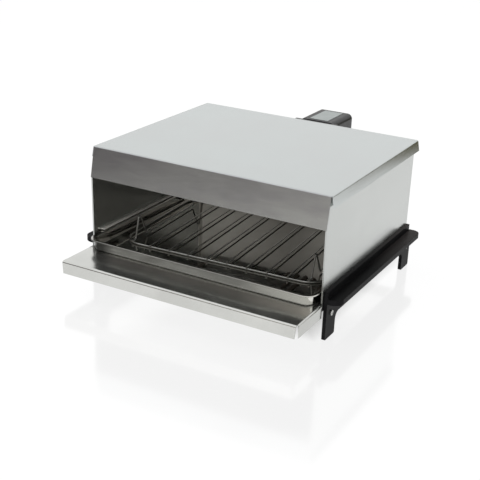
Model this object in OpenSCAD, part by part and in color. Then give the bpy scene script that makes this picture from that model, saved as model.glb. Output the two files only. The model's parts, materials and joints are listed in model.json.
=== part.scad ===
// Electric party grill: an open-fronted sheet box on two moulded leg frames,
// with a crumb tray, a roasting pan and a wire rack, and a terminal housing behind the lid.
// Millimetres, +Z up, the open front faces -Y. The origin is under the middle of the whole object.

/* [Sheet metal] */
// Thickness of the aluminium sheet
sheet = 1; // [0.8:0.1:1.2]
// Bend radius at the middle of the sheet
bend_r = 1.6; // [1.2:0.1:2.4]
// Gap left between sheets of the same body that don't touch
seam = 0.15; // [0.1:0.05:0.4]

/* [Lid] */
// Width of the lid's top face
lid_w = 370; // [330:1:420]
// Depth of the lid's top face
lid_d = 312; // [285:1:345]
// Height of the lid's top face above the table
lid_top = 201; // [190:1:240]
// Height of the sloping front flange
front_drop = 44; // [30:1:55]
// How far the front flange leans forward at its foot
front_flare = 8; // [5:0.5:12]
// Height of the side flanges
side_drop = 16; // [10:1:22]
// How far the side flanges lean outward at their foot
side_flare = 3; // [1:0.5:5]
// Height of the rear flange that carries the terminal housing
rear_drop = 44; // [42:1:55]
// Width of the deep part of the rear flange, behind the terminal housing
rear_tab = 96; // [94:1:140]
// Open relief at each top corner
lid_relief = 1.5; // [1:0.1:3]
// Height of the safe hem inside the front flange
hem_h = 7; // [4:0.5:10]

/* [Walls] */
// Inset of the walls' outer faces from the lid's edge
wall_inset = 1.4; // [1.2:0.1:2.5]
// How far the walls' foot stands in front of the lid's front edge
wall_forward = 4; // [2:0.5:6]
// Overhang of the lid behind the walls
wall_back_gap = 11; // [9:0.5:16]
// Height of the walls' foot above the table
wall_z = 41.5; // [36:0.5:48]
// Width of the folds under the lid
top_fold = 12; // [8:1:16]
// Width of the folds that the tray runs on
runner_w = 10; // [7:1:14]
// Width of the hem along each wall's front edge
wall_hem = 7; // [4:0.5:10]
// Width of the screw tabs below the walls
tab_w = 18; // [12:1:22]
// Depth of the back panel's forward folds
back_fold = 11; // [8:1:14]

/* [Leg frames] */
// Thickness of the web and legs
frame_t = 5; // [4:0.5:6]
// Height of the lip that stands against the wall
lip_top = 70; // [64:0.5:80]
// Front face of the frames behind the lid's front edge
frame_front = 0.5; // [0:0.5:4]
// Width of a leg
leg_w = 30.5; // [24:0.5:34]
// How far the rear leg stands behind the wall
leg_back = 10; // [6:0.5:14]
// Height of the rear leg's shoulder
shoulder_z = 53; // [48:1:58]
// Height of the beam's underside between the legs
beam_z = 29.5; // [27:0.5:32]
// Fillet between leg and beam
leg_fillet = 10; // [6:1:16]
// Rounding of the feet
foot_r = 2.5; // [1:0.5:4]
// Width of the carrying wing beyond the web
wing_w = 17.5; // [15:0.5:22]
// Height of the wing's top face
wing_z = 60; // [56:0.5:64]
// Thickness of the wing
wing_t = 3.5; // [2.5:0.5:5]
// Height of the wing's outer edge
wing_edge = 7.5; // [7.5:0.5:11]
// Thickness of the wing's outer edge
wing_rim = 3; // [2:0.5:4]
// Rounding of the wing's front end
wing_front_r = 14; // [6:1:14]
// Rounding of the wing's rear end
wing_rear_r = 12; // [5:1:12]
// Diameter of the frame screws
screw_d = 4; // [3:0.5:5]
// Clearance of a screw in its hole
screw_play = 0.4; // [0.2:0.1:0.8]
// Diameter of the frame screws' heads
head_d = 7.6; // [6:0.2:9]
// Height of the frame screws' heads
head_h = 2.4; // [1.8:0.2:3.2]
// Height of the frame screws above the table
screw_z = 35.5; // [30:0.5:37]

/* [Crumb tray] */
// Height of the tray's top face
tray_top = 53; // [50:0.5:55]
// Depth of the shelf in front of the walls
shelf_d = 72; // [40:1:80]
// How far the tray is drawn out at rest
tray_out = 2; // [2:0.5:30]
// Height of the shelf's turned-down flanges
shelf_drop = 18.5; // [12:0.5:24]
// How far the shelf stands out beside the walls
shelf_out = 0.8; // [-2:0.1:1]
// Gap between the tray's sides and the walls
tray_play = 2.6; // [1.5:0.1:4]
// Running gap between the tray and its runners
tray_lift = 0.3; // [0.2:0.1:0.6]
// Bend radius of the shelf's flanges
shelf_bend = 3; // [2:0.5:4]
// Inset of the front flange's ends at the top
shelf_mitre = 2; // [0.5:0.5:4]
// Slant of the front flange's ends
mitre_slant = 1.5; // [0:0.5:8]
// Radius of the relief notch behind the side flanges
relief_r = 2; // [1:0.25:3]
// Height of the turned-down rear edge
tray_rear_fold = 8; // [5:0.5:9]

/* [Roasting pan] */
// Height of the pan's rim
pan_rim = 70; // [69:0.5:73]
// Gap between the pan's floor and the tray
pan_gap = 0.4; // [0.4:0.1:2]
// Thickness of the pan's sheet
pan_t = 0.8; // [0.6:0.1:1]
// How far the rim stands in front of the walls' foot at rest
pan_out = 23; // [15:1:40]
// Travel left behind the pan at rest
pan_in = 14; // [6:1:20]
// Corner radius of the rim
pan_r = 18; // [16:1:30]
// Bend radius of the pan's bottom edge
pan_foot_r = 1.5; // [1:0.5:5]
// Width of the flat lip
pan_lip = 5.5; // [4:0.5:7]
// Draft of the pan's walls
pan_draft = 1.5; // [1:0.5:2]
// Radius of the rolled rim
roll_r = 1; // [0.9:0.1:1.4]
// Side gap between the rolled rim and the rail
pan_play = 1.6; // [1:0.1:2.5]

/* [Pan rails] */
// Width of a rail's lower leg
rail_low = 7; // [5:0.5:8]
// Width of a rail's upper leg
rail_up = 6; // [4:0.5:7]
// Inner height of the rail's channel
rail_gap = 4.2; // [3.4:0.1:6]
// Front end of the rails behind the lid's front edge
rail_front = 13; // [4:1:30]
// Gap between the rails and the back panel's folds
rail_back_gap = 2; // [1:0.5:6]
// Running gap between the rim and the rail's lower leg
pan_lift = 0.35; // [0.3:0.05:0.6]

/* [Wire rack] */
// Width of the rack over its frame wire's middle
rack_w = 316; // [290:1:316]
// Depth of the rack over its frame wire's middle
rack_d = 226; // [200:1:232]
// Front wire behind the lid's front edge
rack_front = 34.8; // [24:0.2:36]
// Corner radius of the frame wire
rack_r = 32; // [30:1:46]
// How far the rack lies to the left in the pan
rack_left = 4; // [0:0.5:4]
// How far the rack lies turned in the pan, in degrees
rack_turn = 3.2; // [0:0.1:3.4]
// Diameter of the frame wire
frame_wire = 3; // [2.8:0.2:4]
// Diameter of the bars
bar_wire = 2.4; // [2.2:0.2:3]
// Number of bars on each side of the middle
bar_pairs = 5; // [4:1:5]
// Pitch of the bars
bar_pitch = 31; // [24:0.5:31]
// How deep the bars are welded into the frame wire
weld_sink = 0.5; // [0.2:0.1:0.8]
// How far a bar's end stands past the frame wire
bar_end = 2.6; // [1.5:0.1:4]
// Height of the V legs' corner above the bars, before it is rounded
leg_rise = 37.5; // [20:0.5:38]
// Bend radius of the V legs
leg_bend = 3; // [2.5:0.1:4]
// Straight length between the frame wire and a V leg
leg_start = 6.5; // [6:0.5:12]
// Length of a V leg's foot along the bar
leg_span = 32; // [24:1:44]
// Lean of the V legs' tip towards the rack's end
leg_lean = 6; // [0:0.5:8]
// Gap between rack and pan
rack_lift = 0.3; // [0.2:0.1:0.6]

/* [Heating elements] */
// Diameter of the sheathed elements
rod_d = 7; // [6:0.2:8]
// Middle of the elements below the lid's top face
rod_drop = 30; // [29.5:0.5:32]
// Gap between the outer loop's middle and the walls
outer_gap = 32.6; // [28:0.1:60]
// Gap between the loops, middle to middle
loop_gap = 60; // [50:1:90]
// Outer loop's front run behind the lid's front edge
outer_front = 38; // [28:1:60]
// Inner loop's front run behind the lid's front edge
inner_front = 95; // [80:1:120]
// Outer loop's rear run in front of the lid's rear edge
outer_rear = 40; // [36:1:50]
// Inner loop's rear run in front of the lid's rear edge
inner_rear = 88; // [75:1:110]
// Bend radius of the elements
rod_bend = 14; // [10:1:18]
// Pitch of the element ends at the rear
end_pitch = 15; // [14.5:0.5:16]
// Hanger strips' distance from the middle of the lid
hanger_gap = 62; // [30:1:68]
// Width of a hanger strip
hanger_w = 14; // [8:1:20]
// Outer diameter of a bushing's collar
bush_d = 13; // [11:0.5:13]
// Thickness of a bushing's collar
bush_collar = 3; // [2:0.5:5]

/* [Terminal housing] */
// Middle of the housing to the right of the lid's middle
housing_x = 13; // [-40:1:60]
// Width of the cover
cover_w = 60; // [58:1:80]
// Height of the cover
cover_h = 40; // [38:1:42]
// Length of the cover behind its base
cover_d = 71; // [64:1:90]
// Rounding of the cover's top edges
cover_r = 8; // [4:0.5:10]
// Wall of the cover
cover_t = 2.5; // [2:0.1:3]
// Thickness of the base
base_t = 8; // [6:0.5:10]
// How far the base stands out beside the cover
base_ear = 6; // [3:0.5:10]
// Length of the rating plate
plate_l = 59; // [40:1:60]
// Width of the rating plate
plate_w = 31; // [20:1:40]
// Thickness of the rating plate
plate_t = 0.5; // [0.3:0.1:1]
// Bore of the cord gland
gland_bore = 8; // [6:0.5:9]
// How far the gland stands behind the cover
gland_out = 6; // [3:0.5:10]

/* [Hidden] */

$fn = 48;
bend_steps = 6;
fuller = 1.06;
tuck = 0.4;
aluminium = "Silver";
pan_metal = "DarkGray";
steel = "Gainsboro";
black = [0.09, 0.09, 0.1];
ceramic = "Linen";
brass = "Goldenrod";

// Walls and lid
wall_out = lid_w / 2 - wall_inset;
wall_in = wall_out - sheet;
wall_mid = wall_out - sheet / 2;
wall_back = lid_d - wall_back_gap;
lid_under = lid_top - sheet;
lean = front_flare / front_drop;
flange_skin = sheet * sqrt(1 + lean * lean);
front_foot_z = lid_top - front_drop;
fold_z = lid_under - sheet;
runner_z = wall_z + sheet;
fold_start = 4;
cap_room = 12;

// Frames
web_out = wall_out + frame_t;
rear_leg_1 = wall_back + leg_back;
rear_leg_0 = rear_leg_1 - leg_w;
screw_front_y = frame_front + leg_w / 2;
screw_rear_y = rear_leg_0 + leg_w / 2;
tab_foot = screw_z - screw_d * 1.5;
nut_af = screw_d * 1.75;
nut_h = screw_d * 0.8;

// Tray
shelf_half = wall_out + shelf_out;
shelf_rear = -wall_forward - tray_out;
shelf_front = shelf_rear - shelf_d;
tray_half = wall_in - tray_play;
shelf_corner = shelf_bend + 2;
tray_rear = wall_back - sheet - tray_out - 1.5;

// Rails and pan
rail_x = wall_in - sheet / 2;
rail_low_top = pan_rim - 2 * roll_r - pan_lift;
rail_up_under = rail_low_top + rail_gap;
rail_rear = wall_back - sheet - back_fold - rail_back_gap;
pan_half = wall_in - sheet - pan_play;
pan_front = -wall_forward - pan_out;
pan_rear = wall_back - sheet - pan_in - 1;
pan_floor = tray_top + pan_gap;
lip_bend = 1.8;

// Rack
rack_z = pan_floor + pan_t + frame_wire / 2 + rack_lift;
bar_z = rack_z + frame_wire / 2 + bar_wire / 2 - weld_sink;
rack_rear = rack_front + rack_d;
leg_bar = (bar_pairs - 0.5) * bar_pitch;

// Heating
rod_z = lid_top - rod_drop;
lid_rear_in = lid_d - sheet;
rod_end = lid_d + 3;
outer_half = wall_in - outer_gap;
inner_half = outer_half - loop_gap;
stud_d = 3;
stud_end = rod_end + 11;
bush_body = bush_d - 3.2;
rod_play = 0.2;
hanger_foot = 10;

// Housing
cover_top = lid_top;
cover_foot = lid_top - cover_h;
base_front = lid_d;
cover_front = base_front + base_t;
cover_rear = cover_front + cover_d;
cover_in_w = cover_w - 2 * cover_t;
gland_rear = cover_rear + gland_out;
gland_d = gland_bore + 8;
lug = 10;
lug_z = cover_top - cover_t - 8;
lug_x = cover_in_w / 2 - seam - lug;
small_screw = 3;
small_head = small_screw * 1.9;
small_head_h = small_screw * 0.6;
small_nut = small_screw * 1.8;
small_nut_h = small_screw * 0.8;
window_top = rod_z + bush_d / 2 + 1;
base_screw_x = cover_w / 2 - 7;
base_screw_z = window_top + small_nut / 2 / cos(30) + 0.4;
cutout_z = cover_top - 12;
cutout_d = 15;
cutout_can = 11;
cutout_tab = 7;
earth_d = 2.5;
earth_head = 4.6;
earth_x = housing_x - cover_w / 2 - base_ear / 2 + 0.2;
earth_z = cover_foot + 8;
block_gap = 28;
block_y = cover_front + block_gap;
block_d = 14;
block_w = 42;
block_z = cover_foot + cover_t;
block_h = rod_z - block_z + 6;
link_y = rod_end + 4;
link_t = 1.2;
link_h = 8;
lead_d = 2;
lead_bend = 3;
lead_tail = 3;
clamp_y = cover_rear - cover_t - 11;
clamp_w = 26;
clamp_d = 7;
clamp_screw_x = 9;
clamp_top = rod_z + gland_bore / 2 + 2.5;

// Middle of the whole object, which the origin stands under
y_mid = (shelf_front + gland_rear) / 2;

function unit(v) = v / norm(v);
function left_of(v) = [-v[1], v[0]];
function turn(a, b) = atan2(a[0] * b[1] - a[1] * b[0], a * b);
function swing(v, a) = [v[0] * cos(a) - v[1] * sin(a), v[0] * sin(a) + v[1] * cos(a)];
function last(p) = p[len(p) - 1];

// Middle line of a bent sheet as [point, normal] pairs, with an arc at each inner corner
function bend_at(p, i, r) =
    let (d1 = unit(p[i] - p[i - 1]))
    let (d2 = unit(p[i + 1] - p[i]))
    let (a = turn(d1, d2))
    let (s = sign(a))
    let (n = left_of(d1))
    let (q = is_list(r) ? r[i - 1] : r)
    let (mid = p[i] - d1 * q * tan(abs(a) / 2) + n * q * s)
    [for (k = [0 : bend_steps]) let (m = swing(n, a * k / bend_steps)) [mid - m * q * s, m]];
function sheet_line(p, r) = concat(
    [[p[0], left_of(unit(p[1] - p[0]))]],
    [for (i = [1 : len(p) - 2]) each bend_at(p, i, r)],
    [[last(p), left_of(unit(last(p) - p[len(p) - 2]))]]);

// Everything is drawn from the lid's front edge and then set over the origin
module place() {
    translate([0, -y_mid, 0]) children();
}

// Section of a bent sheet along the points p, with one bend radius or a list of them
module bent(p, t = sheet, r = bend_r) {
    line = sheet_line(p, r);
    polygon(concat(
        [for (s = line) s[0] + s[1] * t / 2],
        [for (i = [len(line) - 1 : -1 : 0]) line[i][0] - line[i][1] * t / 2]));
}

// A section in X and Z, drawn out along Y from y0 to y1
module along_y(y0, y1) {
    translate([0, y1, 0]) rotate([90, 0, 0]) linear_extrude(y1 - y0) children();
}

// A section in Y and Z, drawn out along X from x0 to x1
module along_x(x0, x1) {
    translate([x0, 0, 0]) rotate([90, 0, 90]) linear_extrude(x1 - x0) children();
}

// Both sides of the grill from one drawn on the right
module both() {
    children();
    mirror([1, 0, 0]) children();
}

// A section swept round a rounded rectangle: its x runs outward from the corner arcs' centres
module around(x_half, y0, y1, r) {
    cx = x_half - r;
    cy0 = y0 + r;
    cy1 = y1 - r;
    for (s = [[cx, cy1, 0], [-cx, cy1, 90], [-cx, cy0, 180], [cx, cy0, 270]])
        translate([s[0], s[1], 0]) rotate([0, 0, s[2]]) rotate_extrude(angle = 90) children();
    along_y(cy0, cy1) translate([cx, 0]) children();
    along_y(cy0, cy1) mirror([1, 0]) translate([cx, 0]) children();
    along_x(-cx, cx) translate([cy1, 0]) children();
    along_x(-cx, cx) translate([cy0, 0]) mirror([1, 0]) children();
}

module rounded_plate(x_half, y0, y1, r) {
    translate([-x_half + r, y0]) square([2 * (x_half - r), y1 - y0]);
    translate([-x_half, y0 + r]) square([2 * x_half, y1 - y0 - 2 * r]);
    for (x = [-1, 1], y = [y0 + r, y1 - r]) translate([x * (x_half - r), y]) circle(r);
}

// A straight round bar between two points
module bar(a, b, d) {
    v = b - a;
    translate(a)
        rotate([0, acos(v[2] / norm(v)), atan2(v[1], v[0])])
            cylinder(d = d, h = norm(v));
}

// A round bar in one level plane through the points p, with bends of radius r.
// With a sleeve above 1 the bends are that much fuller and the straights reach into them.
module bent_rod(p, d, r, sleeve = 1) {
    n = len(p);
    reach = sleeve > 1 ? tuck : 0;
    cut = [for (i = [0 : n - 1]) i == 0 || i == n - 1 ? 0 :
        r * tan(abs(turn(p[i] - p[i - 1], p[i + 1] - p[i])) / 2) - reach];
    for (i = [0 : n - 2]) {
        v = unit(p[i + 1] - p[i]);
        a = p[i] + v * cut[i];
        b = p[i + 1] - v * cut[i + 1];
        bar([a[0], a[1], 0], [b[0], b[1], 0], d);
    }
    for (i = [1 : n - 2]) {
        v = unit(p[i] - p[i - 1]);
        a = turn(v, p[i + 1] - p[i]);
        start = p[i] - v * (cut[i] + reach);
        mid = start + left_of(v) * r * sign(a);
        out = start - mid;
        translate([mid[0], mid[1], 0])
            rotate([0, 0, atan2(out[1], out[0]) + min(a, 0)])
                rotate_extrude(angle = abs(a)) translate([r, 0]) circle(d = d * sleeve);
    }
}

// Y of the front flange's inner face at height z
function flange_in(z) = -lean * (lid_top - z) + flange_skin + seam;

module lid_front_section() {
    top = lid_top - sheet / 2;
    foot = [-front_flare + flange_skin / 2, front_foot_z];
    knee = [flange_skin / 2, top];
    bent([foot, knee, [lid_d - sheet / 2, top], [lid_d - sheet / 2, lid_top - rear_drop]]);
}

module lid_hem_section() {
    foot = front_foot_z;
    skin = flange_skin;
    edge = -front_flare + skin;
    polygon([[edge - skin, foot], [edge + skin, foot], [edge + skin + hem_h * lean, foot + hem_h],
        [edge + hem_h * lean - skin / 2, foot + hem_h]]);
}

module lid_side_section() {
    top = lid_top - sheet / 2;
    x = lid_w / 2 - sheet / 2;
    foot = lid_top - side_drop;
    bent([[-x - side_flare, foot], [-x, top], [x, top], [x + side_flare, foot]]);
}

module lid() color(aluminium) place() {
    hem_half = wall_in - sheet - 1;
    difference() {
        union() {
            along_x(-lid_w / 2 + lid_relief, lid_w / 2 - lid_relief) lid_front_section();
            along_y(lid_relief, lid_d - lid_relief) lid_side_section();
            along_x(-hem_half, hem_half) lid_hem_section();
        }
        for (x = [housing_x - rear_tab / 2 - lid_w, housing_x + rear_tab / 2])
            translate([x, lid_d - 2 * sheet, lid_top - 2 * rear_drop])
                cube([lid_w, 3 * sheet, 2 * rear_drop - side_drop]);
        for (x = rod_ends())
            translate([x, lid_d - 2 * sheet, rod_z])
                rotate([-90, 0, 0]) cylinder(d = bush_body + 2 * seam, h = 3 * sheet);
        for (x = [-base_screw_x, base_screw_x])
            translate([housing_x + x, lid_d - 2 * sheet, base_screw_z])
                rotate([-90, 0, 0]) cylinder(d = small_screw + screw_play, h = 3 * sheet);
    }
}

// Outline of a wall from the side, with its front edge tucked behind the lid's flange
module wall_outline() {
    shoulder = lid_top - cap_room;
    polygon([[-wall_forward, wall_z], [flange_in(front_foot_z), front_foot_z],
        [flange_in(shoulder), shoulder], [fold_start, fold_z], [fold_start, lid_under],
        [wall_back, lid_under], [wall_back, wall_z]]);
}

// Strip just behind the wall's front edge
module wall_hem_outline() {
    low = runner_z + bend_r;
    high = front_foot_z - 1;
    slope = (flange_in(front_foot_z) + wall_forward) / (front_foot_z - wall_z);
    edge_low = -wall_forward + slope * (low - wall_z);
    edge_high = -wall_forward + slope * (high - wall_z);
    polygon([[edge_low, low], [edge_high, high], [edge_high + wall_hem, high], [edge_low + wall_hem, low]]);
}

module side_panel() {
    top = lid_under - sheet / 2;
    foot = wall_z + sheet / 2;
    section = [[wall_in - top_fold, top], [wall_mid, top], [wall_mid, foot], [wall_in - runner_w, foot]];
    intersection() {
        along_y(-2 * wall_forward - front_flare, wall_back) bent(section);
        along_x(0, lid_w) wall_outline();
    }
    along_x(wall_in - sheet, wall_in) wall_hem_outline();
    for (y = [screw_front_y, screw_rear_y])
        difference() {
            y1 = min(y + tab_w / 2, wall_back);
            translate([wall_in, y - tab_w / 2, tab_foot])
                cube([sheet, y1 - y + tab_w / 2, runner_z + bend_r + sheet - tab_foot]);
            translate([wall_in - sheet, y, screw_z])
                rotate([0, 90, 0]) cylinder(d = screw_d + screw_play, h = 3 * sheet);
        }
}

module right_side_panel() color(aluminium) place() side_panel();
module left_side_panel() color(aluminium) place() mirror([1, 0, 0]) side_panel();

module back_panel() color(aluminium) place() {
    x = wall_in - sheet / 2;
    y = wall_back - sheet / 2;
    difference() {
        translate([0, 0, runner_z])
            linear_extrude(fold_z - runner_z)
                bent([[-x, y - back_fold], [-x, y], [x, y], [x, y - back_fold]]);
        for (x_rod = rod_ends())
            translate([x_rod, wall_back - 2 * sheet, rod_z])
                rotate([-90, 0, 0]) cylinder(d = rod_d + 2, h = 3 * sheet);
    }
}

module pan_rail() {
    low = rail_low_top - sheet / 2;
    up = rail_up_under + sheet / 2;
    along_y(rail_front, rail_rear)
        bent([[wall_in - rail_up, up], [rail_x, up], [rail_x, low], [wall_in - rail_low, low]], sheet, 1);
}

module right_pan_rail() color(aluminium) place() pan_rail();
module left_pan_rail() color(aluminium) place() mirror([1, 0, 0]) pan_rail();

// Tray: the part between the walls, the shelf in front and its mitred flanges
module tray_section(half, drop, r) {
    x = half - sheet / 2;
    z = tray_top - sheet / 2;
    bent([[-x, tray_top - drop], [-x, z], [x, z], [x, tray_top - drop]], sheet, r);
}

module shelf_front_mask() {
    wide = shelf_half - shelf_mitre;
    polygon([[-wide, tray_top + 1], [wide, tray_top + 1],
        [wide - mitre_slant, tray_top - shelf_drop], [-wide + mitre_slant, tray_top - shelf_drop]]);
}

module shelf_side_mask() {
    start = shelf_front + shelf_corner;
    difference() {
        polygon([[start, tray_top + 1], [shelf_rear, tray_top + 1],
            [shelf_rear, tray_top - shelf_drop], [start, tray_top - shelf_drop]]);
        translate([shelf_rear, tray_top - sheet / 2]) circle(relief_r);
    }
}

module crumb_tray() color(aluminium) place() {
    z = tray_top - sheet / 2;
    inner_drop = tray_top - runner_z - tray_lift;
    front = shelf_front + sheet / 2;
    rear = tray_rear - sheet / 2;
    intersection() {
        along_x(-shelf_half, shelf_half)
            bent([[front, tray_top - shelf_drop], [front, z], [shelf_front + 2 * shelf_corner, z]],
                sheet, shelf_bend);
        along_y(shelf_front - 1, shelf_rear + 1) shelf_front_mask();
    }
    intersection() {
        along_y(shelf_front, shelf_rear) tray_section(shelf_half, shelf_drop, shelf_bend);
        along_x(-lid_w, lid_w) shelf_side_mask();
    }
    along_y(shelf_rear - shelf_d / 2, tray_rear - bend_r) tray_section(tray_half, inner_drop, bend_r);
    along_x(-tray_half + bend_r, tray_half - bend_r)
        bent([[rear - 4 * bend_r, z], [rear, z], [rear, tray_top - tray_rear_fold]]);
}

// Section of the pan's wall, lip and rolled rim
module pan_section() {
    lip_z = pan_rim - pan_t / 2;
    floor_z = pan_floor + pan_t / 2;
    knee = pan_r - pan_lip;
    foot = knee - pan_draft;
    inner = foot - pan_foot_r - 2;
    bent([[pan_r - roll_r, lip_z], [knee, lip_z], [foot, floor_z], [inner, floor_z]],
        pan_t, [lip_bend, pan_foot_r]);
    translate([pan_r - roll_r, pan_rim - roll_r]) circle(roll_r);
}

module roasting_pan() color(pan_metal) place() {
    inset = pan_lip + pan_draft + pan_foot_r;
    around(pan_half, pan_front, pan_rear, pan_r) pan_section();
    translate([0, 0, pan_floor])
        linear_extrude(pan_t)
            rounded_plate(pan_half - inset, pan_front + inset, pan_rear - inset, pan_r - inset);
}

// How far the frame wire's corner arc lies behind the front wire at x
function arc_back(x) =
    let (dx = max(0, abs(x) - rack_w / 2 + rack_r))
    rack_r - sqrt(rack_r * rack_r - dx * dx);

module rack_bar(x) {
    reach = arc_back(x) - bar_end;
    bar([x, rack_front + reach, bar_z], [x, rack_rear - reach, bar_z], bar_wire);
}

// Outer bar, bent up into a V leg near each end
module rack_leg_bar(x) {
    reach = arc_back(x) - bar_end;
    a = rack_front + reach;
    b = rack_rear - reach;
    foot = a + bar_end + leg_start;
    tip = foot + leg_span / 2 - leg_lean;
    half = [[a, 0], [foot, 0], [tip, leg_rise], [foot + leg_span, 0]];
    other = [for (i = [3 : -1 : 0]) [a + b - half[i][0], half[i][1]]];
    translate([x, 0, bar_z])
        rotate([90, 0, 90]) bent_rod(concat(half, other), bar_wire, leg_bend, fuller);
}

module wire_rack() color(steel) place() {
    mid = (rack_front + rack_rear) / 2;
    translate([-rack_left, mid, 0]) rotate([0, 0, rack_turn]) translate([0, -mid, 0]) {
        translate([0, 0, rack_z])
            around(rack_w / 2, rack_front, rack_rear, rack_r) translate([rack_r, 0]) circle(d = frame_wire);
        for (i = [0 : bar_pairs - 2], s = [-1, 1]) rack_bar(s * (i + 0.5) * bar_pitch);
        for (s = [-1, 1]) rack_leg_bar(s * leg_bar);
    }
}

// Side view of a leg frame: beam, two legs with fillets and the rear shoulder
module leg_outline(y0, y1, top) {
    translate([y0, foot_r]) square([y1 - y0, top - foot_r]);
    translate([y0 + foot_r, 0]) square([y1 - y0 - 2 * foot_r, 2 * foot_r]);
    for (y = [y0 + foot_r, y1 - foot_r]) translate([y, foot_r]) circle(foot_r);
}

module leg_fillet_shape(side) {
    difference() {
        translate([side > 0 ? 0 : -leg_fillet, -leg_fillet]) square([leg_fillet, leg_fillet + 1]);
        translate([side * leg_fillet, -leg_fillet]) circle(leg_fillet);
    }
}

module frame_outline() {
    front_1 = frame_front + leg_w;
    round = foot_r * 2;
    translate([frame_front, beam_z]) square([wall_back - frame_front, lip_top - beam_z]);
    leg_outline(frame_front, front_1, beam_z + 1);
    leg_outline(rear_leg_0, rear_leg_1, shoulder_z - round);
    translate([wall_back - 1, beam_z]) square([leg_back + 1 - round, shoulder_z - beam_z]);
    translate([rear_leg_1 - round, shoulder_z - round]) circle(round);
    translate([front_1, beam_z]) leg_fillet_shape(1);
    translate([rear_leg_0, beam_z]) leg_fillet_shape(-1);
}

// Plan of the wing beyond the web, drawn in by inset
module wing_plan(inset) {
    y0 = frame_front + 0.5 + inset;
    y1 = wall_back + leg_back / 2 - inset;
    x1 = wing_w - inset;
    rf = wing_front_r - inset;
    rr = wing_rear_r - inset;
    intersection() {
        union() {
            translate([-1, y0]) square([x1 - rf + 1, y1 - y0]);
            translate([-1, y0 + rf]) square([x1 + 1, y1 - y0 - rf - rr]);
            translate([-1, y1 - rr - 1]) square([x1 - rr + 1, rr + 1]);
            translate([x1 - rf, y0 + rf]) circle(rf);
            translate([x1 - rr, y1 - rr]) circle(rr);
        }
        translate([-1, y0]) square([x1 + 1, y1 - y0]);
    }
}

module side_frame() {
    difference() {
        union() {
            along_x(wall_out, web_out) frame_outline();
            translate([web_out, 0, wing_z - wing_t]) linear_extrude(wing_t) wing_plan(0);
            translate([web_out, 0, wing_z - wing_edge])
                linear_extrude(wing_edge)
                    difference() {
                        wing_plan(0);
                        wing_plan(wing_rim);
                    }
        }
        for (y = [screw_front_y, screw_rear_y])
            translate([wall_out - 1, y, screw_z])
                rotate([0, 90, 0]) cylinder(d = screw_d + screw_play, h = frame_t + 2);
    }
}

module right_side_frame() color(black) place() side_frame();
module left_side_frame() color(black) place() mirror([1, 0, 0]) side_frame();

// A pan-head screw whose head sits on z = 0 and whose shank points to -z
module pan_screw(d, head, high, length) {
    difference() {
        union() {
            cylinder(d = head, h = high / 2);
            translate([0, 0, high / 2]) intersection() {
                translate([0, 0, -head]) sphere(r = head + high / 2);
                cylinder(d = head, h = high);
            }
            translate([0, 0, -length]) cylinder(d = d, h = length + high / 4);
        }
        for (a = [0, 90]) rotate([0, 0, a])
            translate([-head * 0.28, -head * 0.06, high * 0.55]) cube([head * 0.56, head * 0.12, high]);
    }
}

module hex_nut(d, af, high) {
    difference() {
        cylinder(d = af / cos(30), h = high, $fn = 6);
        translate([0, 0, -1]) cylinder(d = d, h = high + 2);
    }
}

module at_frame_screws(x) {
    both() for (y = [screw_front_y, screw_rear_y])
        translate([x, y, screw_z]) rotate([0, 90, 0]) children();
}

module frame_screws() color(steel) place()
    at_frame_screws(web_out) pan_screw(screw_d, head_d, head_h, frame_t + sheet + nut_h + 1);

module frame_nuts() color(steel) place()
    at_frame_screws(wall_in - nut_h) hex_nut(screw_d + seam, nut_af, nut_h);

// Elements: two loops under the lid whose four ends pass the rear flange
function rod_ends() = [for (k = [-1.5, -0.5, 0.5, 1.5]) housing_x + k * end_pitch];

function loop_path(half, front, rear, e0, e1) = [
    [e0, rod_end], [e0, lid_d - rear], [-half, lid_d - rear], [-half, front],
    [half, front], [half, lid_d - rear], [e1, lid_d - rear], [e1, rod_end]];

module outer_element() color([0.35, 0.34, 0.33]) place() {
    e = rod_ends();
    translate([0, 0, rod_z])
        bent_rod(loop_path(outer_half, outer_front, outer_rear, e[0], e[3]), rod_d, rod_bend);
}

module inner_element() color([0.35, 0.34, 0.33]) place() {
    e = rod_ends();
    inner = rod_bend / 2;
    translate([0, 0, rod_z])
        bent_rod(loop_path(inner_half, inner_front, inner_rear, e[1], e[2]), rod_d, inner);
}

module heater_hangers() color(aluminium) place() {
    top = lid_under - sheet / 2;
    low = rod_z - rod_d / 2 - rod_play - sheet / 2;
    wide = outer_half + rod_d + 2;
    mid = lid_d / 2;
    for (y = [mid - hanger_gap, mid + hanger_gap])
        along_y(y - hanger_w / 2, y + hanger_w / 2)
            bent([[-wide - hanger_foot, top], [-wide, top], [-wide, low],
                [wide, low], [wide, top], [wide + hanger_foot, top]]);
}

module heater_bushings() color(ceramic) place()
    for (x = rod_ends())
        translate([x, lid_rear_in - bush_collar, rod_z])
            rotate([-90, 0, 0])
                difference() {
                    union() {
                        cylinder(d = bush_d, h = bush_collar);
                        cylinder(d = bush_body, h = bush_collar + sheet + 2);
                    }
                    translate([0, 0, -1]) cylinder(d = rod_d + rod_play, h = bush_collar + sheet + 4);
                }

module heater_terminals() color(brass) place()
    for (x = rod_ends())
        translate([x, rod_end, rod_z]) rotate([-90, 0, 0]) {
            cylinder(d = stud_d, h = stud_end - rod_end);
            cylinder(d = stud_d + 2.5, h = 2);
        }

module terminal_links() color(brass) place() {
    e = rod_ends();
    for (pair = [[0, 1], [2, 3]])
        along_y(link_y, link_y + link_t) difference() {
            translate([e[pair[0]] - link_h / 2, rod_z - link_h / 2])
                square([end_pitch + link_h, link_h]);
            for (k = pair) translate([e[k], rod_z]) circle(d = stud_d + seam);
        }
}

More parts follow.
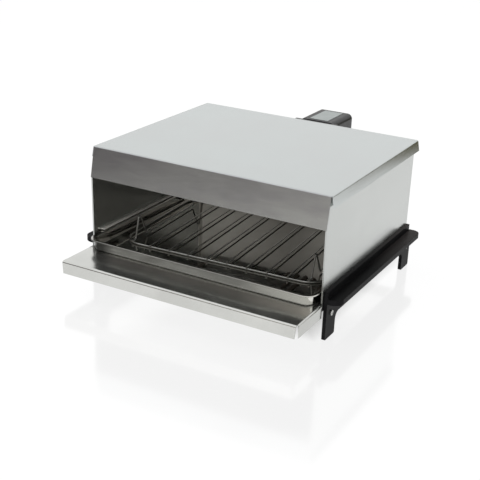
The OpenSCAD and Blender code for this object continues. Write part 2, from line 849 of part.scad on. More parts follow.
// Front view of the cover, drawn in by inset
module cover_outline(inset) {
    half = cover_w / 2 - inset;
    high = cover_h - 2 * inset;
    r = cover_r - inset;
    translate([housing_x, cover_foot + inset]) {
        translate([-half, 0]) square([2 * half, high - r]);
        translate([-half + r, 0]) square([2 * (half - r), high]);
        for (s = [-1, 1]) translate([s * (half - r), high - r]) circle(r);
    }
}

module housing_base() color(black) place() {
    half = cover_w / 2 + base_ear;
    win = 1.5 * end_pitch + bush_body / 2 + 2 * seam;
    win_z = cover_foot + cover_t + 1;
    difference() {
        union() {
            translate([housing_x - half, base_front, cover_foot]) cube([2 * half, base_t, cover_h - 1]);
            for (x = [-lug_x - lug, lug_x])
                translate([housing_x + x, cover_front - 1, lug_z - lug / 2]) cube([lug, lug + 1, lug]);
        }
        translate([housing_x - win, base_front - 1, win_z]) cube([2 * win, base_t + 2, window_top - win_z]);
        for (x = [-base_screw_x, base_screw_x])
            translate([housing_x + x, base_front - 1, base_screw_z])
                rotate([-90, 0, 0]) cylinder(d = small_screw + screw_play, h = base_t + 2);
        for (s = [-1, 1])
            translate([housing_x + s * cover_w / 2, cover_front + lug / 2, lug_z])
                rotate([0, s * -90, 0]) cylinder(d = small_screw + seam, h = lug + cover_t - 1);
        translate([earth_x, base_front + 1, earth_z])
            rotate([-90, 0, 0]) cylinder(d = earth_d + seam, h = base_t);
    }
}

module housing_cover() color(black) place() {
    difference() {
        along_y(cover_front, cover_rear) cover_outline(0);
        along_y(cover_front - 1, cover_rear - cover_t) cover_outline(cover_t);
        for (s = [-1, 1])
            translate([housing_x + s * (cover_w / 2 + 1), cover_front + lug / 2, lug_z])
                rotate([0, s * -90, 0]) cylinder(d = small_screw + screw_play, h = cover_t + 2);
        translate([housing_x, cover_rear - cover_t - 1, rod_z])
            rotate([-90, 0, 0]) cylinder(d = gland_d - 4, h = cover_t + 2);
    }
}

module rating_plate() color("LightGray") place()
    translate([housing_x - plate_w / 2, cover_front + (cover_d - plate_l) / 2, cover_top])
        cube([plate_w, plate_l, plate_t]);

module base_screws() color(steel) place()
    for (x = [-base_screw_x, base_screw_x])
        translate([housing_x + x, lid_rear_in, base_screw_z]) rotate([90, 0, 0])
            pan_screw(small_screw, small_head, small_head_h, sheet + base_t + small_nut_h + 1);

module base_nuts() color(steel) place()
    for (x = [-base_screw_x, base_screw_x])
        translate([housing_x + x, cover_front, base_screw_z])
            rotate([-90, 0, 0]) hex_nut(small_screw + seam, small_nut, small_nut_h);

module cover_screws() color(steel) place()
    for (s = [-1, 1])
        translate([housing_x + s * cover_w / 2, cover_front + lug / 2, lug_z]) rotate([0, s * 90, 0])
            pan_screw(small_screw, small_head, small_head_h, lug / 2 + cover_t);

// Three-way block with a slot below each clamping screw
function post_x(k) = housing_x + (k - 1) * end_pitch;

module terminal_block() color(ceramic) place() {
    difference() {
        translate([housing_x - block_w / 2, block_y, block_z]) cube([block_w, block_d, block_h]);
        for (k = [0 : 2]) {
            translate([post_x(k), block_y - 1, rod_z])
                rotate([-90, 0, 0]) cylinder(d = 4, h = block_d + 2);
            translate([post_x(k), block_y + block_d / 2, rod_z]) cylinder(d = 4.4, h = block_h);
        }
    }
}

module block_screws() color(brass) place()
    for (k = [0 : 2])
        translate([post_x(k), block_y + block_d / 2, rod_z + lead_d / 2 + seam])
            difference() {
                cylinder(d = 4, h = 4);
                translate([-3, -0.4, 3]) cube([6, 0.8, 2]);
            }

// Snap disc seated on the base beside the block
module thermal_cutout() color([0.2, 0.18, 0.16]) place()
    translate([housing_x, cover_front, cutout_z]) rotate([-90, 0, 0]) {
        cylinder(d = cutout_d, h = 4);
        cylinder(d = cutout_can, h = cutout_tab + 1);
        for (s = [-1, 1]) translate([s * 3.5 - 1, -0.4, cutout_tab]) cube([2, 0.8, cutout_tab]);
    }

// Leads from the links to the block, and from the block past the clamp to the gland
module internal_leads() color([0.75, 0.72, 0.66]) place() {
    rear = block_y + block_d;
    pitch = lead_d * 1.2;
    for (k = [0, 2]) {
        x = housing_x + (k - 1) * pitch;
        bar([post_x(k), link_y + link_t, rod_z], [post_x(k), block_y + lead_tail, rod_z], lead_d);
        translate([0, 0, rod_z])
            bent_rod([[post_x(k), rear - lead_tail], [post_x(k), rear + lead_tail],
                [x, clamp_y - lead_tail], [x, clamp_y + lead_tail]], lead_d, lead_bend, fuller);
    }
    bar([housing_x, rear - lead_tail, rod_z], [housing_x, clamp_y + lead_tail, rod_z], lead_d);
}

module earth_screw() color(steel) place()
    translate([earth_x, cover_front, earth_z])
        rotate([-90, 0, 0]) pan_screw(earth_d, earth_head, small_head_h, base_t - 2);

// Rubber gland in the cover's rear wall
module cord_gland() color([0.05, 0.05, 0.05]) place()
    translate([housing_x, cover_rear, rod_z]) rotate([-90, 0, 0])
        difference() {
            union() {
                cylinder(d1 = gland_d, d2 = gland_bore + 4, h = gland_out);
                translate([0, 0, -cover_t - 2]) cylinder(d = gland_d - 4 - seam, h = cover_t + 3);
                translate([0, 0, -cover_t - 2]) cylinder(d = gland_d - 2, h = 2 - seam);
            }
            translate([0, 0, -cover_t - 3]) cylinder(d = gland_bore, h = gland_out + cover_t + 5);
        }

// Saddle on the cover's floor that would grip the cord
module cord_clamp() color(black) place()
    difference() {
        translate([housing_x - clamp_w / 2, clamp_y, block_z])
            cube([clamp_w, clamp_d, clamp_top - block_z]);
        translate([housing_x, clamp_y - 1, rod_z])
            rotate([-90, 0, 0]) cylinder(d = gland_bore, h = clamp_d + 2);
        for (s = [-1, 1])
            translate([housing_x + s * clamp_screw_x, clamp_y + clamp_d / 2, block_z + 4])
                cylinder(d = small_screw + seam, h = cover_h);
    }

module clamp_screws() color(steel) place()
    for (s = [-1, 1])
        translate([housing_x + s * clamp_screw_x, clamp_y + clamp_d / 2, clamp_top])
            pan_screw(small_screw, small_head, small_head_h, 10);

lid();
left_side_panel();
right_side_panel();
back_panel();
left_pan_rail();
right_pan_rail();
crumb_tray();
roasting_pan();
wire_rack();
left_side_frame();
right_side_frame();
frame_screws();
frame_nuts();
outer_element();
inner_element();
heater_hangers();
heater_bushings();
heater_terminals();
terminal_links();
housing_base();
housing_cover();
rating_plate();
base_screws();
base_nuts();
cover_screws();
terminal_block();
block_screws();
thermal_cutout();
internal_leads();
earth_screw();
cord_gland();
cord_clamp();
clamp_screws();
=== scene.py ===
import bpy
import json
import math
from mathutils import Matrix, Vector

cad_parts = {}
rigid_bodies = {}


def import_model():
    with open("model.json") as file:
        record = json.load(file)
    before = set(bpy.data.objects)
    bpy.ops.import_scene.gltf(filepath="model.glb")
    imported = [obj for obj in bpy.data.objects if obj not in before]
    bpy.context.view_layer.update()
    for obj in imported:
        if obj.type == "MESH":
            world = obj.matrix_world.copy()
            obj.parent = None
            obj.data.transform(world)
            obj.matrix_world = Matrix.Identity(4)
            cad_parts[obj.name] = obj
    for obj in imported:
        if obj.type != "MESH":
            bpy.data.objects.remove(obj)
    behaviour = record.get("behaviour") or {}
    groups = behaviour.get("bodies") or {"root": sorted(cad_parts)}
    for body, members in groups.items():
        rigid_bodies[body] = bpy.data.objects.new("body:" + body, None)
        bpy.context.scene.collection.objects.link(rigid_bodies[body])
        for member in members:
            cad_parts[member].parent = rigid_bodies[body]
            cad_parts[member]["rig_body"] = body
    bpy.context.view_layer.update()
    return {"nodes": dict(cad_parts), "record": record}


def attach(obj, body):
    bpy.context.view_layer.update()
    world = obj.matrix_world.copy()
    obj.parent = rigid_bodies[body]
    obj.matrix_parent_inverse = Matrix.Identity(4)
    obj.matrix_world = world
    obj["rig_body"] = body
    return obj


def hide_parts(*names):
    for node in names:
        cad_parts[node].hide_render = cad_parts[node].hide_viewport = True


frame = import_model()
nodes = frame["nodes"]
scene = bpy.context.scene
scene.view_settings.view_transform = "Standard"
print("frame loaded:", len(nodes), "nodes")

# where the photograph was taken from, in metres and degrees
cameraSettings = {
    "place": (0.64164, -1.23951, 0.60599),
    "turn": (68.164, -2.154, 29.303),
    "focalPixels": 993.06,
    "framePixels": 480,
    "sensorWidth": 36,
    "shift": (-0.00035, -0.0013),
    "clipStart": 0.01,
}


def placeCamera(s):
    lens = bpy.data.cameras.new("photoCamera")
    lens.sensor_width = s["sensorWidth"]
    lens.lens = s["focalPixels"] * s["sensorWidth"] / s["framePixels"]
    lens.shift_x, lens.shift_y = s["shift"]
    lens.clip_start = s["clipStart"]
    eye = bpy.data.objects.new("photoCamera", lens)
    eye.location = s["place"]
    eye.rotation_euler = [math.radians(a) for a in s["turn"]]
    scene.collection.objects.link(eye)
    scene.camera = eye


placeCamera(cameraSettings)
print("camera placed")


def deselectAll():
    if bpy.context.mode != "OBJECT":
        bpy.ops.object.mode_set(mode="OBJECT")
    bpy.ops.object.select_all(action="DESELECT")


def opaque(colour):
    return (*colour, 1)


def startMaterial(name, colour):
    mat = bpy.data.materials.new(name)
    mat.use_nodes = True
    mat.diffuse_color = opaque(colour)
    tree = mat.node_tree
    return mat, tree, tree.nodes["Principled BSDF"]


def addNode(tree, kind, **values):
    node = tree.nodes.new(kind)
    for key, value in values.items():
        socket = node.inputs.get(key.replace("_", " "))
        if socket is not None:
            socket.default_value = value
        else:
            setattr(node, key, value)
    return node


# patterns of the finishes: the noise's octaves, the used part of its range, the bump's depth in metres
patternSettings = {
    "blotch": {"detail": 4.0, "rough": 0.6, "span": (0.35, 0.65)},
    "grain": {"detail": 2.0, "rough": 0.55, "depth": 0.0002},
    "wave": {"detail": 1.0, "rough": 0.4, "depth": 0.01},
    "smear": {"detail": 5.0, "rough": 0.6, "span": (0.38, 0.62)},
    "stain": {"detail": 4.0, "rough": 0.6, "span": (0.45, 0.7)},
    "mottle": {"detail": 3.0, "rough": 0.6, "span": (0.35, 0.65)},
    "pebble": {"detail": 2.0, "rough": 0.5, "depth": 0.0002},
}
# how far a face's normal leans where it begins to count as a front, a side or a top, and where it fully does
facingSettings = {"front": (-0.3, -0.6), "side": (0.5, 0.9), "up": (0.5, 0.95)}
# the part of a pattern's range that the roughness follows
roughSpan = (0.3, 0.7)
wholeSpan = (0, 1)


def plug(tree, value, socket):
    if isinstance(value, bpy.types.NodeSocket):
        tree.links.new(value, socket)
    else:
        socket.default_value = value


def objectSpace(tree, scale=(1, 1, 1)):
    place = tree.nodes.new("ShaderNodeTexCoord")
    fit = addNode(tree, "ShaderNodeMapping", Scale=scale)
    tree.links.new(place.outputs["Object"], fit.inputs["Vector"])
    return fit.outputs["Vector"]


def axisPart(tree, kind, axis):
    place = tree.nodes.new("ShaderNodeTexCoord")
    axes = tree.nodes.new("ShaderNodeSeparateXYZ")
    tree.links.new(place.outputs[kind], axes.inputs[0])
    return axes.outputs[axis]


def noise(tree, kind, scale=1.0, stretch=(1, 1, 1)):
    pattern = patternSettings[kind]
    node = addNode(tree, "ShaderNodeTexNoise", Scale=scale,
                   Detail=pattern["detail"], Roughness=pattern["rough"])
    tree.links.new(objectSpace(tree, stretch), node.inputs["Vector"])
    return node.outputs["Fac"]


def spread(tree, fac, low, high, span):
    node = addNode(tree, "ShaderNodeMapRange", From_Min=span[0], From_Max=span[1], To_Min=low, To_Max=high)
    tree.links.new(fac, node.inputs["Value"])
    return node.outputs["Result"]


def combine(tree, operation, *values):
    node = addNode(tree, "ShaderNodeMath", operation=operation)
    for value, socket in zip(values, node.inputs):
        plug(tree, value, socket)
    return node.outputs[0]


def blend(tree, fac, a, b, kind="RGBA"):
    node = addNode(tree, "ShaderNodeMix", data_type=kind)
    wanted = "RGBA" if kind == "RGBA" else "VALUE"
    low, high = [i for i in node.inputs if i.type == wanted and i.name in "AB"]
    plug(tree, a, low)
    plug(tree, b, high)
    tree.links.new(fac, node.inputs["Factor"])
    return [o for o in node.outputs if o.type == wanted][0]


def bump(tree, height, strength, distance, under=None):
    node = addNode(tree, "ShaderNodeBump", Strength=strength, Distance=distance)
    tree.links.new(height, node.inputs["Height"])
    if under is not None:
        tree.links.new(under, node.inputs["Normal"])
    return node.outputs["Normal"]


# smudges wiped sideways on the faces toward the front, with a painted reflection that makes them lighter
# lower down
def smearAndPaintedReflectionTint(tree, s, tint):
    wiped = noise(tree, "smear", stretch=s["stretch"])
    wiped = spread(tree, wiped, 0, s["share"], patternSettings["smear"]["span"])
    lower = spread(tree, axisPart(tree, "Object", "Z"), 1 - s["share"], 0, s["height"])
    smudgeAndSheen = blend(tree, combine(tree, "ADD", wiped, lower), opaque(s["dark"]), opaque(s["light"]))
    forward = spread(tree, axisPart(tree, "Normal", "Y"), 0, 1, facingSettings["front"])
    return blend(tree, forward, tint, smudgeAndSheen)


# painted shade: a darker tint on the faces toward the sides
def sidesTint(tree, colour, tint):
    across = combine(tree, "ABSOLUTE", axisPart(tree, "Normal", "X"))
    return blend(tree, spread(tree, across, 0, 1, facingSettings["side"]), tint, opaque(colour))


# a sheet that is darker in the middle
def darkerMiddleTint(tree, s, tint):
    fromLeft = spread(tree, axisPart(tree, "Object", "X"), 0, 1, s["left"])
    fromRight = spread(tree, axisPart(tree, "Object", "X"), 1, 0, s["right"])
    return blend(tree, combine(tree, "MINIMUM", fromLeft, fromRight), tint, opaque(s["colour"]))


# a front below the rim that is duller and rougher than the rest and painted with shade: dark except toward
# its right end, with random stains, a painted highlight on its rougher foot and a painted shadow in the left
# corner
def dullFrontPaintedLight(tree, s, tint, rough):
    behind = spread(tree, axisPart(tree, "Object", "Y"), 0, 1, s["depth"])
    above = spread(tree, axisPart(tree, "Object", "Z"), 0, 1, s["height"])
    elsewhere = combine(tree, "MAXIMUM", behind, above)
    paintedLightAcross = spread(tree, axisPart(tree, "Object", "X"), 0, 1, s["span"])
    dull = blend(tree, paintedLightAcross, opaque(s["left"]), opaque(s["right"]))
    stain = noise(tree, "stain", stretch=s["stain"])
    dull = blend(tree, spread(tree, stain, 0, s["stainDepth"], patternSettings["stain"]["span"]), dull, tint)
    raised = spread(tree, axisPart(tree, "Object", "Z"), 0, 1, s["foot"])
    dull = blend(tree, raised, opaque(s["footHighlight"]), dull)
    corner = spread(tree, axisPart(tree, "Object", "X"), 0, 1, s["corner"])
    dull = blend(tree, corner, opaque(s["dark"]), dull)
    footRoughness = spread(tree, raised, s["footRough"], s["rough"], wholeSpan)
    return blend(tree, elsewhere, dull, tint), blend(tree, elsewhere, footRoughness, rough, "FLOAT")


# satin and polished metals: streaked roughness, faint blotches, slow waves in the sheet
def metalFinish(name, s):
    mat, tree, shader = startMaterial(name, s["colour"])
    shader.inputs["Metallic"].default_value = s.get("metallic", 1.0)
    blotch = spread(tree, noise(tree, "blotch", s["blotchScale"]), 0, 1, patternSettings["blotch"]["span"])
    tint = blend(tree, blotch, opaque(s["colour"]), opaque(s["shade"]))
    grain = noise(tree, "grain", stretch=s["grain"])
    rough = spread(tree, grain, *s["rough"], roughSpan)
    wave = noise(tree, "wave", s["waveScale"])
    normal = bump(tree, wave, s["waveBump"], patternSettings["wave"]["depth"])
    normal = bump(tree, grain, s["grainBump"], patternSettings["grain"]["depth"], normal)
    # a sheet that bows leans its reflections
    if "bow" in s:
        normal = bump(tree, axisPart(tree, "Object", "Z"), 1.0, s["bow"], normal)
    if "smear" in s:
        tint = smearAndPaintedReflectionTint(tree, s["smear"], tint)
    if "sides" in s:
        tint = sidesTint(tree, s["sides"], tint)
    if "darkerMiddle" in s:
        tint = darkerMiddleTint(tree, s["darkerMiddle"], tint)
    # painted shade: wires that are bright on top and darker and rougher underneath
    if "under" in s:
        top = spread(tree, axisPart(tree, "Normal", "Z"), 0, 1, s["under"]["span"])
        tint = blend(tree, top, opaque(s["under"]["colour"]), tint)
        rough = blend(tree, top, s["under"]["rough"], rough, "FLOAT")
    # painted highlight: an upper lip that is near-white and barely metallic, so it shows as a bright line
    if "lip" in s:
        high = spread(tree, axisPart(tree, "Object", "Z"), 0, 1, s["lip"]["height"])
        tint = blend(tree, high, tint, opaque(s["lip"]["colour"]))
        shine = spread(tree, high, s["metallic"], s["lip"]["metallic"], wholeSpan)
        tree.links.new(shine, shader.inputs["Metallic"])
    if "front" in s:
        tint, rough = dullFrontPaintedLight(tree, s["front"], tint, rough)
    tree.links.new(tint, shader.inputs["Base Color"])
    tree.links.new(rough, shader.inputs["Roughness"])
    tree.links.new(normal, shader.inputs["Normal"])
    return mat


# moulded plastics: fine pebble, mottled, and on some a painted reflection on the top faces that grows
# lighter toward the rear
def plasticFinish(name, s):
    mat, tree, shader = startMaterial(name, s["colour"])
    mottle = noise(tree, "mottle", s["blotchScale"])
    span = patternSettings["mottle"]["span"]
    tint = blend(tree, spread(tree, mottle, 0, 1, span), opaque(s["colour"]), opaque(s["shade"]))
    # painted reflection: the up-facing faces lighten toward the rear
    if "topSheen" in s:
        upward = spread(tree, axisPart(tree, "Normal", "Z"), 0, 1, facingSettings["up"])
        rearward = spread(tree, axisPart(tree, "Object", "Y"), 0, 1, s["topSheen"]["span"])
        paintedSheenColour = blend(tree, rearward, opaque(s["topSheen"]["front"]), opaque(s["topSheen"]["rear"]))
        tint = blend(tree, upward, tint, paintedSheenColour)
    rough = spread(tree, mottle, *s["rough"], roughSpan)
    pebble = noise(tree, "pebble", s["pebbleScale"])
    normal = bump(tree, pebble, s["pebbleBump"], patternSettings["pebble"]["depth"])
    tree.links.new(tint, shader.inputs["Base Color"])
    tree.links.new(rough, shader.inputs["Roughness"])
    tree.links.new(normal, shader.inputs["Normal"])
    shader.inputs["Specular IOR Level"].default_value = s["specular"]
    return mat


finishes = {
    "sheet_aluminium": metalFinish("satinSheet", {
        "colour": (0.555, 0.587, 0.582), "shade": (0.535, 0.565, 0.56), "blotchScale": 7,
        "grain": (500, 12, 500), "rough": (0.16, 0.2), "grainBump": 0.012,
        "waveScale": 5, "waveBump": 0.1}),
    "tray_aluminium": metalFinish("trayMetal", {
        "colour": (0.67, 0.675, 0.65), "shade": (0.61, 0.615, 0.59), "blotchScale": 14,
        "grain": (30, 30, 30), "rough": (0.13, 0.2), "grainBump": 0.0, "metallic": 0.96,
        # the tray's faces toward the sides get a painted shade
        "waveScale": 16, "waveBump": 0.16, "sides": (0.5, 0.505, 0.485)}),
    "pan_aluminium": metalFinish("panMetal", {
        "colour": (0.6, 0.59, 0.56), "shade": (0.52, 0.51, 0.48), "blotchScale": 16,
        "grain": (30, 30, 30), "rough": (0.03, 0.06), "grainBump": 0.0,
        "waveScale": 6, "waveBump": 0.02,
        # the pan's front below the rim: painted shade that is dark except toward the right, a painted
        # highlight on the foot, and a painted shadow in the left corner
        "front": {"depth": (-0.172, -0.166), "height": (0.0694, 0.0702), "rough": 0.14,
                  "span": (0.07, 0.17),
                  "left": (0.26, 0.257, 0.243), "right": (0.66, 0.65, 0.61),
                  "stain": (30, 30, 160), "stainDepth": 0.25,
                  "corner": (-0.155, -0.135), "dark": (0.08, 0.08, 0.075),
                  "foot": (0.0544, 0.0566), "footHighlight": (0.55, 0.545, 0.515), "footRough": 0.55}}),
    "rack_wire": metalFinish("rackWire", {
        "colour": (0.62, 0.62, 0.6), "shade": (0.5, 0.5, 0.48), "blotchScale": 40,
        "grain": (60, 60, 60), "rough": (0.05, 0.1), "grainBump": 0.0,
        "waveScale": 30, "waveBump": 0.02,
        # painted shade on the wires' lower faces
        "under": {"colour": (0.36, 0.36, 0.34), "rough": 0.5, "span": (0.3, 0.7)}}),
    "screw_steel": metalFinish("screwSteel", {
        "colour": (0.55, 0.55, 0.53), "shade": (0.45, 0.45, 0.43), "blotchScale": 200,
        "grain": (1500, 1500, 1500), "rough": (0.2, 0.35), "grainBump": 0.03,
        "waveScale": 60, "waveBump": 0.02}),
    "element_sheath": metalFinish("elementSheath", {
        "colour": (0.2, 0.18, 0.16), "shade": (0.12, 0.1, 0.09), "blotchScale": 25,
        "grain": (600, 600, 600), "rough": (0.4, 0.55), "grainBump": 0.06,
        "waveScale": 30, "waveBump": 0.02}),
    "brass": metalFinish("terminalBrass", {
        "colour": (0.66, 0.5, 0.24), "shade": (0.55, 0.4, 0.18), "blotchScale": 120,
        "grain": (900, 900, 900), "rough": (0.25, 0.4), "grainBump": 0.03,
        "waveScale": 60, "waveBump": 0.02}),
    "plate_aluminium": metalFinish("ratingPlate", {
        "colour": (0.45, 0.485, 0.48), "shade": (0.41, 0.445, 0.44), "blotchScale": 60,
        "grain": (60, 1200, 60), "rough": (0.35, 0.45), "grainBump": 0.03,
        "waveScale": 30, "waveBump": 0.01}),
    "black_plastic": plasticFinish("blackMoulding", {
        "colour": (0.006, 0.006, 0.0065), "shade": (0.009, 0.009, 0.0095), "blotchScale": 30,
        "pebbleScale": 1600, "pebbleBump": 0.05, "rough": (0.32, 0.4), "specular": 0.03,
        # painted reflection on the frames' top faces, lighter toward the rear
        "topSheen": {"front": (0.006, 0.006, 0.0065), "rear": (0.06, 0.054, 0.052), "span": (-0.03, 0.15)}}),
    "housing_plastic": plasticFinish("housingMoulding", {
        "colour": (0.012, 0.012, 0.013), "shade": (0.018, 0.018, 0.019), "blotchScale": 40,
        "pebbleScale": 1400, "pebbleBump": 0.08, "rough": (0.3, 0.4), "specular": 0.4}),
    "ceramic_white": plasticFinish("glazedCeramic", {
        "colour": (0.72, 0.7, 0.64), "shade": (0.66, 0.63, 0.57), "blotchScale": 80,
        "pebbleScale": 700, "pebbleBump": 0.05, "rough": (0.18, 0.26), "specular": 0.5}),
    "cutout_plastic": plasticFinish("cutoutMoulding", {
        "colour": (0.06, 0.045, 0.035), "shade": (0.08, 0.06, 0.05), "blotchScale": 80,
        "pebbleScale": 900, "pebbleBump": 0.1, "rough": (0.4, 0.5), "specular": 0.5}),
    "lead_sleeve": plasticFinish("leadSleeve", {
        "colour": (0.6, 0.57, 0.5), "shade": (0.5, 0.47, 0.4), "blotchScale": 300,
        "pebbleScale": 2400, "pebbleBump": 0.4, "rough": (0.7, 0.85), "specular": 0.3}),
    "gland_rubber": plasticFinish("glandRubber", {
        "colour": (0.02, 0.02, 0.02), "shade": (0.03, 0.03, 0.03), "blotchScale": 60,
        "pebbleScale": 900, "pebbleBump": 0.2, "rough": (0.55, 0.7), "specular": 0.35}),
}

# single pieces: the walls bow a little, the lid's front is smudged with a painted reflection, the back and
# the rails are dull, and the rails carry painted shade and a painted highlight
wallSheet = metalFinish("wallSheet", {
    "colour": (0.53, 0.545, 0.532), "shade": (0.505, 0.52, 0.507), "blotchScale": 7,
    "grain": (500, 12, 500), "rough": (0.19, 0.23), "grainBump": 0.012,
    "waveScale": 5, "waveBump": 0.1, "bow": -0.06})
# painted shade: the rails are given a dark colour, and their upper lip a near-white painted highlight
railSheet = metalFinish("railSheet", {
    "colour": (0.2, 0.19, 0.17), "shade": (0.16, 0.15, 0.13), "blotchScale": 40,
    "grain": (60, 60, 60), "rough": (0.4, 0.5), "grainBump": 0.0, "metallic": 0.6,
    "waveScale": 5, "waveBump": 0.02,
    "lip": {"height": (0.0714, 0.0717), "colour": (0.95, 0.93, 0.87), "metallic": 0.1}})
lidSheet = metalFinish("lidSheet", {
    "colour": (0.555, 0.59, 0.585), "shade": (0.545, 0.567, 0.563), "blotchScale": 5,
    "grain": (500, 12, 500), "rough": (0.16, 0.2), "grainBump": 0.012,
    "waveScale": 5, "waveBump": 0.1,
    # the lid's front faces: real smudges plus a painted reflection that is lighter lower down
    "smear": {"stretch": (11, 40, 40), "height": (0.15, 0.2), "share": 0.5,
              "dark": (0.49, 0.5, 0.515), "light": (0.66, 0.69, 0.68)}})
ownFinish = {
    "lid": lidSheet,
    "left_side_panel": wallSheet,
    "right_side_panel": wallSheet,
    "left_pan_rail": railSheet,
    "right_pan_rail": railSheet,
    "back_panel": metalFinish("dullSheet", {
        "colour": (0.59, 0.575, 0.54), "shade": (0.52, 0.505, 0.475), "blotchScale": 9,
        "grain": (60, 60, 60), "rough": (0.5, 0.58), "grainBump": 0.0, "metallic": 0.4,
        "waveScale": 5, "waveBump": 0.05,
        "darkerMiddle": {"left": (-0.13, -0.01), "right": (0.01, 0.07), "colour": (0.31, 0.3, 0.28)}}),
}

slotOf = {p["node"]: p["material_slot"] for p in frame["record"]["subparts"]}


def finishOf(name):
    return ownFinish.get(name, finishes[slotOf[name]])


for name, obj in nodes.items():
    for place in obj.material_slots:
        place.material = finishOf(name)
print("finishes set:", len(finishes))

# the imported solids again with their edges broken, by so many metres, and their bends smooth
edgeSettings = {
    "lid": {"round": 0.0002, "steps": 2},
    "left_side_panel": {"round": 0.0002, "steps": 2},
    "right_side_panel": {"round": 0.0002, "steps": 2},
    "back_panel": {"round": 0.0002, "steps": 2},
    "left_pan_rail": {"round": 0.0002, "steps": 2},
    "right_pan_rail": {"round": 0.0002, "steps": 2},
    "crumb_tray": {"round": 0.0002, "steps": 2},
    "roasting_pan": {"round": 0, "steps": 0},
    "wire_rack": {"round": 0, "steps": 0},
    "outer_element": {"round": 0, "steps": 0},
    "inner_element": {"round": 0, "steps": 0},
    "heater_hangers": {"round": 0.0002, "steps": 2},
    "left_side_frame": {"round": 0.0009, "steps": 3},
    "right_side_frame": {"round": 0.0009, "steps": 3},
    "frame_screws": {"round": 0.0002, "steps": 2},
    "housing_cover": {"round": 0.0007, "steps": 3},
    "housing_base": {"round": 0.0006, "steps": 3},
    "rating_plate": {"round": 0.00015, "steps": 2},
    "cord_gland": {"round": 0.0004, "steps": 2},
}
mergeGap = 0.000004  # metres
flatAngle = math.radians(0.5)
edgeAngle = math.radians(40)


def applyModifier(piece, kind, **values):
    made = piece.modifiers.new(kind.lower(), kind)
    for key, value in values.items():
        setattr(made, key, value)
    bpy.ops.object.modifier_apply(modifier=made.name)


def softEdged(name, s):
    deselectAll()
    source = nodes[name]
    piece = bpy.data.objects.new(name + "Soft", source.data.copy())
    scene.collection.objects.link(piece)
    piece.select_set(True)
    bpy.context.view_layer.objects.active = piece
    bpy.ops.object.mode_set(mode="EDIT")
    bpy.ops.mesh.select_all(action="SELECT")
    bpy.ops.mesh.remove_doubles(threshold=mergeGap)
    bpy.ops.mesh.dissolve_limited(angle_limit=flatAngle)
    bpy.ops.object.mode_set(mode="OBJECT")
    if s["steps"]:
        applyModifier(piece, "BEVEL", width=s["round"], segments=s["steps"], limit_method="ANGLE",
                      angle_limit=edgeAngle, use_clamp_overlap=True)
    bpy.ops.object.shade_smooth_by_angle(angle=edgeAngle)
    applyModifier(piece, "WEIGHTED_NORMAL", keep_sharp=True)
    for place in piece.material_slots:
        place.material = finishOf(name)
    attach(piece, source["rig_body"])
    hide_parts(name)


for name, settings in edgeSettings.items():
    softEdged(name, settings)
print("soft-edged pieces made:", len(edgeSettings))

# white table, dark low screens that show only in reflections, and soft light from above and in front
stageSettings = {
    "tableRadius": 6,
    "tableSides": 128,
    "tablePaint": (0.9, 0.9, 0.9),
    "tableWhite": 0.93,
    "tableGlow": 1.04,
    "tableGloss": 0.13,
    "tableRough": 0.12,
    "glossCentre": (0.03, -0.12, 0),
    "glossReach": (0.33, 0.5),
    "shadowX": (0.13, 0.18),
    "shadowY": (0.11, 0.17),
    "skyForLight": 0.55,
    "skyForSight": 1.0,
    "skyColour": (1, 1, 1),
}
screenSettings = {
    "frontScreen": {"radius": 1.6, "height": 0.85, "side": -1, "edge": 0.15,
                    "dark": (0.1, 0.088, 0.091), "light": (0.48, 0.455, 0.428), "span": (-1.2, -0.2)},
    "rearScreen": {"radius": 1.37, "height": 0.36, "side": 1, "edge": 0.95,
                   "dark": (0.085, 0.072, 0.022), "light": (0.085, 0.072, 0.022), "span": (-1, 1)},
}
screenSides = 96
softboxSettings = {
    "keySoftbox": {"place": (-0.6, -0.3, 1.6), "aim": (0, 0, 0.1), "size": (1.2, 1.2), "power": 12},
    "fillSoftbox": {"place": (0.1, -1.3, 0.09), "aim": (0, 0, 0.11), "size": (0.8, 0.16), "power": 10},
}


def seenRay(tree):
    path = tree.nodes.new("ShaderNodeLightPath")
    mirrored = combine(tree, "MAXIMUM", path.outputs["Is Camera Ray"], path.outputs["Is Glossy Ray"])
    return combine(tree, "MAXIMUM", mirrored, path.outputs["Is Transmission Ray"])


def makeSky(s):
    world = bpy.data.worlds.new("studioSky")
    world.use_nodes = True
    scene.world = world
    tree = world.node_tree
    light = tree.nodes["Background"]
    light.inputs["Color"].default_value = opaque(s["skyColour"])
    strength = spread(tree, seenRay(tree), s["skyForLight"], s["skyForSight"], wholeSpan)
    tree.links.new(strength, light.inputs["Strength"])


def mixShader(tree, fac, a, b):
    node = tree.nodes.new("ShaderNodeMixShader")
    tree.links.new(fac, node.inputs["Fac"])
    tree.links.new(a.outputs[0], node.inputs[1])
    tree.links.new(b.outputs[0], node.inputs[2])
    return node


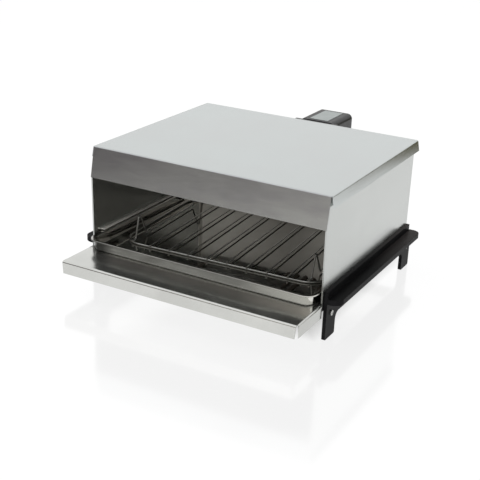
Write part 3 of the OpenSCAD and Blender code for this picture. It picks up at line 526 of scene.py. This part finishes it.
def makeTable(s):
    deselectAll()
    bpy.ops.mesh.primitive_circle_add(vertices=s["tableSides"], radius=s["tableRadius"], fill_type="NGON")
    table = bpy.context.object
    table.name = "whiteTable"
    mat, tree, shader = startMaterial("tableWhite", s["tablePaint"])
    tree.nodes.remove(shader)
    paint = addNode(tree, "ShaderNodeBsdfDiffuse", Color=opaque(s["tablePaint"]))
    glow = addNode(tree, "ShaderNodeEmission", Color=opaque(s["skyColour"]), Strength=s["tableGlow"])
    gloss = addNode(tree, "ShaderNodeBsdfGlossy", Color=opaque(s["skyColour"]), Roughness=s["tableRough"])
    # under the grill the table is plain paint in shadow
    beside = spread(tree, combine(tree, "ABSOLUTE", axisPart(tree, "Object", "X")), 0, 1, s["shadowX"])
    before = spread(tree, combine(tree, "ABSOLUTE", axisPart(tree, "Object", "Y")), 0, 1, s["shadowY"])
    outside = combine(tree, "MAXIMUM", beside, before)
    seen = spread(tree, seenRay(tree), 0, s["tableWhite"], wholeSpan)
    white = mixShader(tree, combine(tree, "MULTIPLY", seen, outside), paint, glow)
    # near the grill it mirrors a little
    reach = addNode(tree, "ShaderNodeVectorMath", operation="DISTANCE")
    tree.links.new(objectSpace(tree), reach.inputs[0])
    reach.inputs[1].default_value = s["glossCentre"]
    mirror = spread(tree, reach.outputs["Value"], s["tableGloss"], 0, s["glossReach"])
    top = mixShader(tree, mirror, white, gloss)
    tree.links.new(top.outputs[0], tree.nodes["Material Output"].inputs["Surface"])
    table.data.materials.append(mat)


def makeScreen(name, s):
    deselectAll()
    bpy.ops.mesh.primitive_cylinder_add(vertices=screenSides, radius=s["radius"], depth=s["height"],
                                        end_fill_type="NOTHING", location=(0, 0, s["height"] / 2))
    screen = bpy.context.object
    screen.name = name
    bpy.ops.object.transform_apply(location=True)
    bpy.ops.object.mode_set(mode="EDIT")
    bpy.ops.mesh.select_all(action="SELECT")
    bpy.ops.mesh.bisect(plane_co=(0, s["side"] * s["edge"], 0), plane_no=(0, -s["side"], 0),
                        clear_outer=True)
    bpy.ops.object.mode_set(mode="OBJECT")
    mat, tree, shader = startMaterial(name + "Grey", s["dark"])
    tree.nodes.remove(shader)
    across = spread(tree, axisPart(tree, "Object", "X"), 0, 1, s["span"])
    shade = blend(tree, across, opaque(s["dark"]), opaque(s["light"]))
    glow = addNode(tree, "ShaderNodeEmission", Strength=1.0)
    tree.links.new(shade, glow.inputs["Color"])
    tree.links.new(glow.outputs[0], tree.nodes["Material Output"].inputs["Surface"])
    screen.data.materials.append(mat)
    screen.visible_camera = False
    screen.visible_shadow = False
    screen.visible_diffuse = False


def addSoftbox(name, s):
    lamp = bpy.data.lights.new(name, "AREA")
    lamp.shape = "RECTANGLE"
    lamp.size, lamp.size_y = s["size"]
    lamp.energy = s["power"]
    box = bpy.data.objects.new(name, lamp)
    box.location = s["place"]
    box.rotation_euler = (Vector(s["aim"]) - Vector(s["place"])).to_track_quat("-Z", "Y").to_euler()
    box.visible_camera = False
    box.visible_glossy = False
    scene.collection.objects.link(box)


makeSky(stageSettings)
makeTable(stageSettings)
for name, settings in screenSettings.items():
    makeScreen(name, settings)
for name, settings in softboxSettings.items():
    addSoftbox(name, settings)
print("stage and light set")
